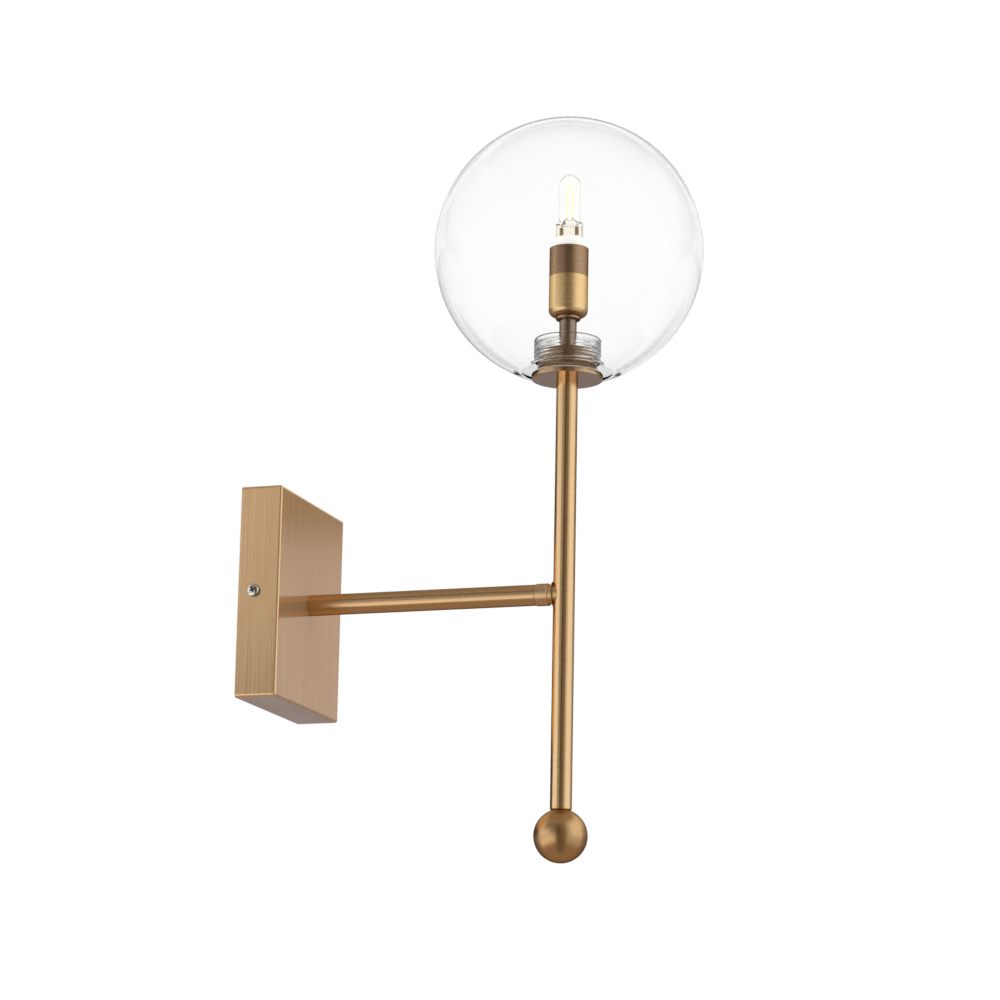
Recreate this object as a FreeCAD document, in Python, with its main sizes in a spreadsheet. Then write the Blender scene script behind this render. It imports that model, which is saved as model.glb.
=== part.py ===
import FreeCAD, Part
import math
import os
import re

import Sketcher

# Globe wall sconce: a square-edged wall box, a straight arm and an upright stem that carries a ball
# at its foot and a clear glass globe on a threaded collar at its head, round a small pin-base lamp.
# Millimetres. +Z is up, the wall is the plane y = 0 and the sconce stands out from it towards -Y.
# The origin is on the wall, midway between the two wall screws and level with the arm.

POLES = 3

SIZES = {
    # Wall box: one brushed brass pressing, open at the back.
    "box_width": 96.0,
    "box_height": 119.0,
    "box_depth": 24.2,
    "box_sheet": 1.2,
    "box_corner": 1.5,
    # Wall strap: a steel strip bent forward at both ends, where the box is screwed on.
    "strap_sheet": 1.5,
    "strap_height": 22.0,
    "strap_flange": 15.0,
    "strap_gap": 0.3,
    "slot_spacing": 60.0,
    "slot_length": 12.0,
    "slot_width": 4.6,
    "cable_hole": 15.0,
    "ear_width": 12.0,
    "ear_reach": 14.0,
    "ear_offset": 20.0,
    "ear_hole": 8.4,
    # Screws: the two that hold the box, and the earth screw.
    "screw_setback": 9.2,
    "screw_thread": 4.0,
    "screw_length": 8.0,
    "head_diameter": 7.1,
    "head_height": 2.4,
    "hole_play": 0.2,
    "screw_clearance": 0.1,
    "crimp_wall": 0.4,
    # Terminal block.
    "pole_pitch": 9.0,
    "block_height": 17.0,
    "block_depth": 14.0,
    "block_lip": 2.0,
    "block_play": 2.0,
    "block_cheek": 1.0,
    "clamp_play": 0.4,
    "barrel_diameter": 4.4,
    "barrel_bore": 2.6,
    "clamp_thread": 2.4,
    "fixing_thread": 3.0,
    "fixing_head": 5.0,
    "fixing_head_height": 1.8,
    "holder_head": 4.6,
    # Hollow threaded nipples and their nuts.
    "nipple_diameter": 10.0,
    "nipple_bore": 8.0,
    "thread_play": 0.05,
    "tap_depth": 10.0,
    "nut_flats": 14.0,
    "nut_thickness": 3.0,
    "washer_diameter": 17.0,
    "washer_thickness": 0.8,
    "thread_spare": 2.0,
    # Arm and the turned boss that is brazed to the stem.
    "arm_diameter": 11.8,
    "arm_bore": 9.0,
    "arm_length": 134.2,
    "boss_diameter": 12.5,
    "boss_length": 9.8,
    "boss_grip": 7.6,
    "boss_waist": 10.8,
    "boss_flare": 1.7,
    "boss_edge": 0.5,
    "boss_tap": 6.8,
    "wire_hole": 7.0,
    # Stem, its foot plug and the ball.
    "stem_diameter": 12.0,
    "stem_bore": 9.0,
    "stem_rise": 122.1,
    "stem_drop": 119.9,
    "stem_edge": 0.5,
    "plug_length": 10.0,
    "stud_diameter": 5.0,
    "stud_grip": 9.0,
    "ball_diameter": 29.6,
    # Plate and threaded collar under the globe.
    "plate_diameter": 40.0,
    "plate_thickness": 3.0,
    "plate_edge": 0.4,
    "collar_height": 13.5,
    "collar_wall": 1.8,
    "collar_floor": 2.0,
    "collar_gap": 0.3,
    # Globe: blown glass, its mouth folded inward into a neck.
    "globe_diameter": 152.0,
    "glass_wall": 2.2,
    "mouth_diameter": 50.8,
    "foot_thickness": 2.0,
    "neck_diameter": 37.6,
    "neck_wall": 2.0,
    "neck_height": 19.9,
    "neck_root": 5.0,
    "mouth_round": 2.0,
    "lip_round": 0.8,
    "gasket_thickness": 0.4,
    "gasket_rim": 0.3,
    # Riser, ring and socket cup.
    "riser_diameter": 9.7,
    "riser_rise": 31.7,
    "spigot_diameter": 8.0,
    "spigot_bore": 6.0,
    "spigot_grip": 8.0,
    "ring_diameter": 14.0,
    "ring_thickness": 2.2,
    "ring_edge": 0.8,
    "cup_diameter": 22.0,
    "cup_height": 39.5,
    "cup_wall": 1.0,
    "cup_corner": 3.5,
    # Lampholder and the bracket that carries it in the cup.
    "holder_gap": 2.0,
    "holder_height": 22.0,
    "holder_proud": 6.0,
    "holder_cap": 3.0,
    "well_width": 4.4,
    "well_length": 4.8,
    "bracket_sheet": 1.2,
    "bracket_leg": 5.0,
    "bracket_gap": 0.2,
    "bracket_screws": 5.8,
    "cup_nut_flats": 10.0,
    "contact_sheet": 0.4,
    "contact_height": 9.0,
    "contact_width": 3.0,
    "contact_gap": 0.3,
    "contact_spare": 1.0,
    # Lamp: a quartz capsule with its pinched foot and two wire loops for pins.
    "pin_spacing": 9.0,
    "pin_wire": 0.9,
    "pin_width": 3.0,
    "pin_length": 8.0,
    "pinch_width": 15.0,
    "pinch_height": 9.0,
    "pinch_thickness": 3.6,
    "capsule_diameter": 13.5,
    "capsule_height": 30.5,
    "capsule_wall": 1.0,
    "capsule_shoulder": 3.0,
    "foil_width": 2.2,
    "foil_thickness": 0.1,
    "foil_height": 5.0,
    "support_wire": 0.5,
    "coil_diameter": 1.1,
    "coil_spacing": 3.1,
    "coil_low": 13.0,
    "coil_high": 31.0,
    "foil_rise": 2.0,
    "capsule_sink": 1.0,
    # Insulated leads.
    "lead_diameter": 1.7,
    "lead_offset": 1.1,
    "lead_bend": 8.0,
}

# Places that follow from the sizes. Heights are above the arm's axis, distances from the wall.
PLACES = {
    "box_inside": "box_depth - box_sheet",
    "nut_back": "box_inside - washer_thickness - nut_thickness",
    "nipple_back": "nut_back - thread_spare",
    "arm_end": "box_depth + arm_length",
    "stem_face": "arm_end + boss_length",
    "stem_axis": "stem_face + stem_diameter / 2",
    "tap_radius": "nipple_diameter / 2 + thread_play",
    "strap_half": "box_width / 2 - box_sheet - strap_gap",
    "block_axis": "strap_sheet + block_depth / 2",
    "block_top": "-strap_height / 2 - block_play",
    "block_foot": "block_top - block_height",
    "block_width": f"{POLES} * pole_pitch + 2 * block_cheek",
    "barrel_length": "block_height - 2 * block_lip",
    "block_middle": "block_top - block_height / 2",
    "clamp_spacing": "block_height / 4",
    "earth_level": "strap_height / 2",
    "crimp_level": "washer_thickness + lead_diameter / 2",
    "ball_radius": "ball_diameter / 2",
    "ball_centre": "-stem_drop - sqrt(ball_radius ^ 2 - (stem_bore / 2) ^ 2)",
    "ball_top": "ball_centre + ball_radius",
    "plug_low": "ball_top + stem_edge / 2",
    "plug_high": "plug_low + plug_length",
    "stud_low": "ball_top - stud_grip",
    "plate_top": "stem_rise + plate_thickness",
    "collar_radius": "neck_bore - collar_gap",
    "collar_seat": "plate_top + collar_floor",
    "stud_shoulder": "collar_seat + washer_thickness + nut_thickness + thread_spare / 2",
    "gasket_top": "plate_top + gasket_thickness",
    "globe_radius": "globe_diameter / 2",
    "mouth_radius": "mouth_diameter / 2",
    "neck_radius": "neck_diameter / 2",
    "neck_bore": "neck_radius - neck_wall",
    "neck_top": "gasket_top + neck_height",
    "globe_centre": "gasket_top + sqrt(globe_radius ^ 2 - mouth_radius ^ 2)",
    "inner_radius": "globe_radius - glass_wall",
    "foot_top": "gasket_top + foot_thickness",
    "inner_mouth": "sqrt(inner_radius ^ 2 - (globe_centre - foot_top) ^ 2)",
    "ring_low": "plate_top + riser_rise",
    "cup_low": "ring_low + ring_thickness",
    "cup_radius": "cup_diameter / 2",
    "cup_bore": "cup_radius - cup_wall",
    "cup_floor": "cup_low + cup_wall",
    "cup_rim": "cup_low + cup_height",
    "spigot_radius": "spigot_diameter / 2",
    "spigot_hole": "spigot_radius + thread_play",
    "cup_nut_low": "cup_floor + bracket_sheet",
    "holder_top": "cup_rim + holder_proud",
    "holder_foot": "holder_top - holder_height",
    "holder_radius": "cup_bore - holder_gap",
    "well_top": "holder_top - holder_cap",
    "base_radius": "cup_radius - cup_corner - bracket_gap",
    "leg_outside": "sqrt(base_radius ^ 2 - (bracket_leg / 2) ^ 2)",
    "contact_top": "well_top - contact_spare",
    "contact_low": "contact_top - contact_height - contact_spare",
    "pinch_top": "holder_top + pinch_height",
    "capsule_low": "pinch_top - capsule_sink",
    "capsule_top": "capsule_low + capsule_height",
    "capsule_radius": "capsule_diameter / 2",
}


def bound(formula):
    """Write a formula in plain names out as one that reads the sheet's cells."""

    def spell(word):
        name = word[0]
        if name in SIZES:
            return "Sizes." + name
        if name in PLACES:
            return "(" + bound(PLACES[name]) + ")"
        return name

    return re.sub(r"[a-z_]+", spell, str(formula))


doc = FreeCAD.newDocument("globe_wall_sconce")
sheet = doc.addObject("Spreadsheet::Sheet", "Sizes")
for row, (name, size) in enumerate(SIZES.items(), start=1):
    sheet.set(f"A{row}", str(size))
    sheet.setAlias(f"A{row}", name)
doc.recompute()


def value(formula):
    return float(sheet.evalExpression(bound(formula)))


def point(*formulas):
    return FreeCAD.Vector(*[value(formula) for formula in formulas])


def bind(thing, **formulas):
    for setting, formula in formulas.items():
        thing.setExpression(setting.replace("__", "."), bound(formula))


# Ways of placing a piece. A turned piece is drawn upright about its own Z axis.
UPRIGHT = FreeCAD.Rotation()
FROM_WALL = FreeCAD.Rotation(FreeCAD.Vector(1, 0, 0), 90)
FACING_LEFT = FreeCAD.Rotation(FreeCAD.Vector(0, 1, 0), -90)


def place(thing, rotation=UPRIGHT, x="0", y="0", z="0"):
    thing.Placement.Rotation = rotation
    bind(thing, Placement__Base__x=x, Placement__Base__y=y, Placement__Base__z=z)
    return thing


def on_stem(thing):
    """Stand a piece on the stem's axis, its heights counted from the arm's axis."""
    return place(thing, y="-(stem_axis)")


def on_arm(thing):
    """Lay a piece on the arm's axis, its heights counted from the wall."""
    return place(thing, FROM_WALL)


def new_body(label):
    body = doc.addObject("PartDesign::Body", label)
    body.Label = label
    return body


def sketch_on(body, role, height="0"):
    """A sketch on one of the body's own planes, lifted along the plane's normal."""
    plane = next(part for part in body.Origin.OriginFeatures if part.Role == role)
    sketch = body.newObject("Sketcher::SketchObject", body.Label + "_sketch")
    sketch.AttachmentSupport = [(plane, "")]
    sketch.MapMode = "FlatFace"
    bind(sketch, AttachmentOffset__Base__z=height)
    return sketch


def fix(sketch, kind, *where, formula):
    """Add one dimension to a sketch and bind it."""
    number = sketch.addConstraint(Sketcher.Constraint(kind, *where, value(formula)))
    sketch.setExpression(f"Constraints[{number}]", bound(formula))


def arc_between(start, end, radius):
    """The arc of under half a circle from start to end. It turns left if its radius is positive."""
    chord = end - start
    left = FreeCAD.Vector(-chord.y, chord.x, 0).normalize()
    rise = math.sqrt(radius ** 2 - (chord.Length / 2) ** 2)
    centre = start + chord * 0.5 + left * math.copysign(rise, radius)
    first, last = (start, end) if radius > 0 else (end, start)
    angles = [math.atan2(spot.y - centre.y, spot.x - centre.x) for spot in (first, last)]
    circle = Part.Circle(centre, FreeCAD.Vector(0, 0, 1), abs(radius))
    return Part.ArcOfCircle(circle, *angles)


def outline(sketch, *corners):
    """Draw a closed outline through corners (across, up). A third value is the radius of the arc
    that leads to that corner, positive where the outline turns left along it."""
    spots = [point(corner[0], corner[1], 0) for corner in corners]
    ends = []
    for number, corner in enumerate(corners):
        start, end = spots[number - 1], spots[number]
        if len(corner) == 2:
            edge = sketch.addGeometry(Part.LineSegment(start, end), False)
            ends.append((edge, 1, 2))
            continue
        radius = value(corner[2])
        edge = sketch.addGeometry(arc_between(start, end, radius), False)
        ends.append((edge, 1, 2) if radius > 0 else (edge, 2, 1))
    for number, (edge, begin, finish) in enumerate(ends):
        before, _, joint = ends[number - 1]
        sketch.addConstraint(Sketcher.Constraint("Coincident", before, joint, edge, begin))
        fix(sketch, "DistanceX", edge, finish, formula=corners[number][0])
        fix(sketch, "DistanceY", edge, finish, formula=corners[number][1])
        if len(corners[number]) == 3:
            fix(sketch, "Radius", edge, formula=f"abs({corners[number][2]})")


def circle(sketch, across, up, radius):
    edge = sketch.addGeometry(Part.Circle(point(across, up, 0), FreeCAD.Vector(0, 0, 1), value(radius)))
    fix(sketch, "DistanceX", edge, 3, formula=across)
    fix(sketch, "DistanceY", edge, 3, formula=up)
    fix(sketch, "Radius", edge, formula=radius)


def rectangle(sketch, left, right, low, high):
    outline(sketch, (left, low), (right, low), (right, high), (left, high))


def slot(sketch, across, up, length, width):
    """A level slot with round ends."""
    half = f"({length} - {width}) / 2"
    radius = f"({width}) / 2"
    left, right = f"{across} - {half}", f"{across} + {half}"
    low, high = f"{up} - {radius}", f"{up} + {radius}"
    outline(sketch, (left, low, radius), (right, low), (f"{right} + {radius}", up, radius),
            (right, high, radius), (left, high), (f"{left} - {radius}", up, radius))


def turn(body, *corners):
    """Turn an outline (radius, height) once round the body's Z axis."""
    sketch = sketch_on(body, "XZ_Plane")
    outline(sketch, *corners)
    turned = body.newObject("PartDesign::Revolution", body.Label + "_turn")
    turned.Profile = sketch
    turned.ReferenceAxis = (sketch, ["V_Axis"])
    turned.Angle = 360
    doc.recompute()
    return body


def pad(body, sketch, length, side="One side", back=False):
    padded = body.newObject("PartDesign::Pad", body.Label + "_pad")
    padded.Profile = sketch
    padded.SideType = side
    padded.Reversed = back
    bind(padded, Length=length)
    doc.recompute()
    return padded


def pocket(body, sketch, length=None, side="One side", back=False):
    """Cut a sketch into the body: to a depth, or right through it where no length is given."""
    before = body.Shape.Volume
    cut = body.newObject("PartDesign::Pocket", body.Label + "_cut")
    cut.Profile = sketch
    cut.SideType = side
    cut.Reversed = back
    if length is None:
        cut.Type = "ThroughAll"
    else:
        bind(cut, Length=length)
    doc.recompute()
    if body.Shape.Volume > before - 1e-6:
        raise ValueError(f"{body.Label}: a cut took nothing away")


def round_edges(body, radius, chosen):
    """Round the edges that the chosen test picks."""
    base = body.Tip
    names = [f"Edge{number}" for number, edge in enumerate(base.Shape.Edges, start=1) if chosen(edge)]
    if not names:
        raise ValueError(f"{body.Label}: no edge to round")
    rounded = body.newObject("PartDesign::Fillet", body.Label + "_round")
    rounded.Base = (base, names)
    bind(rounded, Radius=radius)
    doc.recompute()


def rim_at(radius, height):
    """A test for the whole circle of that radius and height on a turned piece."""
    wanted, level = value(radius), value(height)

    def test(edge):
        if edge.Degenerated or not isinstance(edge.Curve, Part.Circle):
            return False
        return abs(edge.Curve.Radius - wanted) < 0.01 and abs(edge.Curve.Center.z - level) < 0.01

    return test


def turned_ring(label, inner, outer, low, high):
    return turn(new_body(label), (inner, low), (outer, low), (outer, high), (inner, high))


def hexagon_nut(label, flats, hole, low, high):
    """A hexagon nut about its own Z axis, with corners on the Y axis."""
    blank = doc.addObject("Part::Prism", label + "_blank")
    blank.Polygon = 6
    blank.Placement.Rotation = FreeCAD.Rotation(FreeCAD.Vector(0, 0, 1), 30)
    bind(blank, Circumradius=f"({flats}) / sqrt(3)", Height=f"{high} - ({low})", Placement__Base__z=low)
    drill = doc.addObject("Part::Cylinder", label + "_drill")
    bind(drill, Radius=hole, Height=f"{high} - ({low})", Placement__Base__z=low)
    nut = doc.addObject("Part::Cut", label)
    nut.Base = blank
    nut.Tool = drill
    nut.Label = label
    return nut


def pan_screw(label, thread, head, head_height, length):
    """A pan-head screw along Z, with the underside of its head at zero."""
    return turn(new_body(label), ("0", f"-({length})"), (f"{thread} / 2", f"-({length})"),
                (f"{thread} / 2", "0"), (f"{head} / 2", "0"), (f"{head} / 2", f"{head_height} / 3"),
                (f"{head} / 3", head_height, head_height), ("0", head_height))


def group(label, *members):
    """Several like solids under one name."""
    compound = doc.addObject("Part::Compound", label)
    compound.Links = list(members)
    compound.Label = label
    return compound


def mirrored(source, normal):
    twin = doc.addObject("Part::Mirroring", source.Label + "_twin")
    twin.Source = source
    twin.Normal = normal
    return twin


# --- Wall box -------------------------------------------------------------------------------------


def canopy():
    """The visible box: deep-drawn sheet with rounded edges, a hole for the arm and one for each
    side screw."""
    body = new_body("canopy")
    sketch = sketch_on(body, "XZ_Plane")
    rectangle(sketch, "-box_width / 2", "box_width / 2", "-box_height / 2", "box_height / 2")
    pad(body, sketch, "box_depth")
    round_edges(body, "box_corner", lambda edge: edge.BoundBox.YMin < -0.01)
    sketch = sketch_on(body, "XZ_Plane")
    rectangle(sketch, "-box_width / 2 + box_sheet", "box_width / 2 - box_sheet",
              "-box_height / 2 + box_sheet", "box_height / 2 - box_sheet")
    pocket(body, sketch, "box_inside", back=True)
    sketch = sketch_on(body, "XZ_Plane")
    circle(sketch, "0", "0", "nipple_diameter / 2 + hole_play")
    pocket(body, sketch, back=True)
    sketch = sketch_on(body, "YZ_Plane")
    circle(sketch, "-screw_setback", "0", "screw_thread / 2 + hole_play")
    pocket(body, sketch, side="Symmetric")
    return body


def wall_bracket():
    """The steel strap on the wall: slots for the wall screws, a cable hole, a tapped flange at each
    end, a tab below that carries the terminal block and an ear above for the earth screw."""
    body = new_body("wall_bracket")
    sketch = sketch_on(body, "XY_Plane")
    outline(sketch, ("-(strap_half)", "0"), ("-(strap_half)", "-strap_flange"),
            ("-(strap_half) + strap_sheet", "-strap_flange"),
            ("-(strap_half) + strap_sheet", "-strap_sheet"),
            ("strap_half - strap_sheet", "-strap_sheet"),
            ("strap_half - strap_sheet", "-strap_flange"), ("strap_half", "-strap_flange"),
            ("strap_half", "0"))
    pad(body, sketch, "strap_height", side="Symmetric")
    sketch = sketch_on(body, "XZ_Plane")
    rectangle(sketch, "-(block_width) / 2", "block_width / 2", "block_foot",
              "-strap_height / 2 + strap_sheet")
    pad(body, sketch, "strap_sheet")
    sketch = sketch_on(body, "XZ_Plane")
    rectangle(sketch, "ear_offset - ear_width / 2", "ear_offset + ear_width / 2",
              "earth_level - strap_sheet", "earth_level")
    pad(body, sketch, "ear_reach")
    sketch = sketch_on(body, "XZ_Plane")
    circle(sketch, "0", "0", "cable_hole / 2")
    slot(sketch, "-slot_spacing / 2", "0", "slot_length", "slot_width")
    slot(sketch, "slot_spacing / 2", "0", "slot_length", "slot_width")
    pocket(body, sketch, "strap_sheet * 2", back=True)
    sketch = sketch_on(body, "XZ_Plane")
    circle(sketch, "pole_pitch / 2", "block_middle", "fixing_thread / 2 + thread_play")
    pocket(body, sketch, "strap_sheet * 2", back=True)
    sketch = sketch_on(body, "YZ_Plane")
    circle(sketch, "-screw_setback", "0", "screw_thread / 2 + thread_play")
    pocket(body, sketch, side="Symmetric")
    sketch = sketch_on(body, "XY_Plane")
    circle(sketch, "ear_offset", "-ear_hole", "screw_thread / 2 + thread_play")
    pocket(body, sketch, side="Symmetric")
    return body


def canopy_screws():
    """Two pan-head screws through the sides of the box into the strap's flanges."""
    screw = pan_screw("canopy_screw_left", "screw_thread", "head_diameter", "head_height",
                      "screw_length")
    place(screw, FACING_LEFT, x="-box_width / 2", y="-screw_setback")
    return group("canopy_screws", screw, mirrored(screw, FreeCAD.Vector(1, 0, 0)))


def earth_screw():
    screw = pan_screw("earth_screw", "screw_thread", "head_diameter", "head_height", "screw_length")
    return place(screw, x="ear_offset", y="-ear_hole", z="earth_level + washer_thickness")


def earth_terminal():
    """The ring terminal under the earth screw, its barrel pointing along the strap."""
    body = turned_ring("earth_terminal", "screw_thread / 2 + hole_play", "head_diameter / 2 + crimp_wall",
                       "0", "washer_thickness")
    sketch = sketch_on(body, "YZ_Plane", "-(barrel_length)")
    circle(sketch, "0", "crimp_level", "lead_diameter / 2 + crimp_wall")
    pad(body, sketch, "barrel_length - head_diameter / 2")
    sketch = sketch_on(body, "YZ_Plane", "-(barrel_length)")
    circle(sketch, "0", "crimp_level", "lead_diameter / 2")
    pocket(body, sketch, "barrel_length / 3", back=True)
    return place(body, x="ear_offset", y="-ear_hole", z="earth_level")


# --- Terminal block -------------------------------------------------------------------------------


def pole_places():
    """Where the poles lie across the block."""
    middle = (POLES - 1) / 2
    return [f"{number - middle} * pole_pitch" for number in range(POLES)]


def terminal_block():
    """The moulded three-pole housing, with a wire port at each end of each pole, two screw wells on
    each and a hole for its own fixing screw."""
    body = new_body("terminal_block")
    sketch = sketch_on(body, "XZ_Plane", "strap_sheet")
    rectangle(sketch, "-(block_width) / 2", "block_width / 2", "block_foot", "block_top")
    pad(body, sketch, "block_depth")
    sketch = sketch_on(body, "XY_Plane", "block_foot")
    for across in pole_places():
        circle(sketch, across, "-(block_axis)", "barrel_bore / 2")
    pocket(body, sketch, "block_height", back=True)
    sketch = sketch_on(body, "XY_Plane", "block_foot")
    for across in pole_places():
        circle(sketch, across, "-(block_axis)", "barrel_diameter / 2 + thread_play")
    pocket(body, sketch, "block_height - block_lip", back=True)
    sketch = sketch_on(body, "XZ_Plane", "strap_sheet + block_depth")
    for across in pole_places():
        for side in ("-", "+"):
            circle(sketch, across, f"block_middle {side} clamp_spacing", "clamp_thread / 2 + clamp_play")
    pocket(body, sketch, "block_depth / 2")
    sketch = sketch_on(body, "XZ_Plane", "strap_sheet + block_depth")
    circle(sketch, "pole_pitch / 2", "block_middle", "fixing_thread / 2 + screw_clearance")
    pocket(body, sketch, "block_depth * 2")
    return body


def terminal_barrels():
    """Brass barrels, bored for the wires and tapped for their clamp screws."""
    barrels = []
    for number, across in enumerate(pole_places(), start=1):
        body = turned_ring(f"terminal_barrel_{number}", "barrel_bore / 2", "barrel_diameter / 2",
                           "block_top - block_lip - barrel_length", "block_top - block_lip")
        sketch = sketch_on(body, "XZ_Plane")
        for side in ("-", "+"):
            circle(sketch, "0", f"block_middle {side} clamp_spacing", "clamp_thread / 2 + thread_play")
        pocket(body, sketch, back=True)
        barrels.append(place(body, x=across, y="-(block_axis)"))
    return group("terminal_barrels", *barrels)


def terminal_screws():
    """Two clamp screws on each pole, which press on the wire in the barrel."""
    screws = []
    for across in pole_places():
        for side in ("-", "+"):
            screw = doc.addObject("Part::Cylinder", "clamp_screw")
            screw.Placement.Rotation = FROM_WALL
            bind(screw, Radius="clamp_thread / 2", Height="block_depth / 2 - lead_diameter / 2 - block_cheek",
                 Placement__Base__x=across, Placement__Base__y="-(block_axis) - lead_diameter / 2",
                 Placement__Base__z=f"block_middle {side} clamp_spacing")
            screws.append(screw)
    return group("terminal_screws", *screws)


def terminal_fixing():
    """The screw that holds the block to the strap's tab."""
    screw = pan_screw("terminal_fixing", "fixing_thread", "fixing_head", "fixing_head_height",
                      "block_depth + strap_sheet")
    return place(screw, FROM_WALL, x="pole_pitch / 2", y="-(strap_sheet + block_depth)",
                 z="block_middle")


# --- Arm ------------------------------------------------------------------------------------------


def arm_nipple():
    """The hollow threaded nipple that passes through the front of the box into the arm."""
    return on_arm(turned_ring("arm_nipple", "nipple_bore / 2", "nipple_diameter / 2", "nipple_back",
                              "box_depth + tap_depth - thread_spare"))


def arm_nut():
    nut = hexagon_nut("arm_nut", "nut_flats", "tap_radius", "nut_back", "nut_back + nut_thickness")
    return on_arm(nut)


def arm_washer():
    """The toothed washer that bites into the back of the box's front."""
    body = turned_ring("arm_washer", "tap_radius", "washer_diameter / 2",
                       "box_inside - washer_thickness", "box_inside")
    sketch = sketch_on(body, "XY_Plane", "box_inside - washer_thickness")
    circle(sketch, "washer_diameter / 2", "0", "washer_diameter / 16")
    pocket(body, sketch, "washer_thickness", back=True)
    notch = body.Tip
    teeth = body.newObject("PartDesign::PolarPattern", "arm_washer_teeth")
    teeth.Originals = [notch]
    teeth.Axis = (sketch, ["N_Axis"])
    teeth.Angle = 360
    teeth.Occurrences = 12
    body.Tip = teeth
    return on_arm(body)


def arm_tube():
    """The straight brass arm, tapped at both ends."""
    body = turn(new_body("arm_tube"), ("tap_radius", "box_depth"), ("arm_diameter / 2", "box_depth"),
                ("arm_diameter / 2", "arm_end"), ("tap_radius", "arm_end"),
                ("tap_radius", "arm_end - tap_depth"), ("arm_bore / 2", "arm_end - tap_depth"),
                ("arm_bore / 2", "box_depth + tap_depth"), ("tap_radius", "box_depth + tap_depth"))
    return on_arm(body)


def boss_nipple():
    return on_arm(turned_ring("boss_nipple", "nipple_bore / 2", "nipple_diameter / 2",
                              "arm_end - tap_depth + thread_spare", "arm_end + boss_tap - thread_spare / 4"))


def stem_boss():
    """The turned boss between arm and stem. Its flared end is cut to a saddle and brazed on."""
    grip_end = "arm_end + boss_grip"
    waist = "boss_waist / 2"
    body = turn(new_body("stem_boss"), ("tap_radius", "arm_end"),
                ("boss_diameter / 2 - boss_edge", "arm_end"),
                ("boss_diameter / 2", "arm_end + boss_edge"),
                ("boss_diameter / 2", f"{grip_end} - boss_edge"),
                ("boss_diameter / 2 - boss_edge", grip_end), (waist, grip_end),
                (waist, "stem_face - boss_flare"),
                (f"{waist} + boss_flare", "stem_face", "-boss_flare"),
                (f"{waist} + boss_flare", "stem_face + boss_edge"), (waist, "stem_face + boss_edge"),
                (waist, "stem_axis"), ("wire_hole / 2", "stem_axis"),
                ("wire_hole / 2", "arm_end + boss_tap"), ("tap_radius", "arm_end + boss_tap"))
    sketch = sketch_on(body, "XZ_Plane")
    circle(sketch, "0", "stem_axis", "stem_diameter / 2")
    pocket(body, sketch, side="Symmetric")
    return on_arm(body)


# --- Stem -----------------------------------------------------------------------------------------


def stem_tube():
    """The upright tube: tapped at the top, drilled at the boss for the leads."""
    body = turn(new_body("stem_tube"), ("stem_bore / 2", "-stem_drop"),
                ("stem_diameter / 2 - stem_edge", "-stem_drop"),
                ("stem_diameter / 2", "-stem_drop + stem_edge"), ("stem_diameter / 2", "stem_rise"),
                ("tap_radius", "stem_rise"), ("tap_radius", "stem_rise - tap_depth"),
                ("stem_bore / 2", "stem_rise - tap_depth"))
    sketch = sketch_on(body, "XZ_Plane")
    circle(sketch, "0", "0", "wire_hole / 2")
    pocket(body, sketch)
    return on_stem(body)


def stem_plug():
    """The tapped plug that is brazed into the foot of the stem."""
    body = turned_ring("stem_plug", "stud_diameter / 2 + thread_play", "stem_bore / 2 - thread_play",
                       "plug_low", "plug_high")
    return on_stem(body)


def finial_stud():
    body = turned_ring("finial_stud", "0", "stud_diameter / 2", "stud_low", "plug_high - thread_spare")
    return on_stem(body)


def ball_finial():
    """The turned ball. It screws on the stud until the stem's bore sits on it."""
    hole = "(stud_diameter / 2 + thread_play)"
    body = turn(new_body("ball_finial"), (hole, f"ball_centre + sqrt(ball_radius ^ 2 - {hole} ^ 2)"),
                ("0", "ball_centre - ball_radius", "-(ball_radius)"), ("0", "stud_low"),
                (hole, "stud_low"))
    return on_stem(body)


# --- Plate, collar and globe ----------------------------------------------------------------------


def stem_stud():
    """The hollow stud that clamps plate and collar to the stem and carries the riser above them."""
    body = turn(new_body("stem_stud"), ("spigot_bore / 2", "stem_rise - tap_depth + thread_spare"),
                ("nipple_diameter / 2", "stem_rise - tap_depth + thread_spare"),
                ("nipple_diameter / 2", "stud_shoulder"), ("spigot_radius", "stud_shoulder"),
                ("spigot_radius", "stud_shoulder + spigot_grip"),
                ("spigot_bore / 2", "stud_shoulder + spigot_grip"))
    return on_stem(body)


def shade_plate():
    """The polished brass disc under the globe."""
    rim = "plate_diameter / 2"
    body = turn(new_body("shade_plate"), ("tap_radius", "stem_rise"),
                (f"{rim} - plate_edge", "stem_rise"), (rim, "stem_rise + plate_edge", "plate_edge"),
                (rim, "plate_top - plate_edge"), (f"{rim} - plate_edge", "plate_top", "plate_edge"),
                ("tap_radius", "plate_top"))
    return on_stem(body)


def shade_collar():
    """The cup-shaped collar with the male thread that the globe screws onto."""
    inside = "collar_radius - collar_wall"
    top = "plate_top + collar_height"
    body = turn(new_body("shade_collar"), ("tap_radius", "plate_top"), ("collar_radius", "plate_top"),
                ("collar_radius", f"{top} - collar_wall / 3"), (f"collar_radius - collar_wall / 3", top),
                (inside, top), (inside, "collar_seat"), ("tap_radius", "collar_seat"))
    return on_stem(body)


def collar_washer():
    return on_stem(turned_ring("collar_washer", "tap_radius", "washer_diameter / 2", "collar_seat",
                               "collar_seat + washer_thickness"))


def collar_nut():
    nut = hexagon_nut("collar_nut", "nut_flats", "tap_radius", "collar_seat + washer_thickness",
                      "collar_seat + washer_thickness + nut_thickness")
    return on_stem(nut)


def shade_gasket():
    """The clear ring between the plate and the glass."""
    return on_stem(turned_ring("shade_gasket", "collar_radius + collar_gap",
                               "plate_diameter / 2 - gasket_rim", "plate_top", "gasket_top"))


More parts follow.
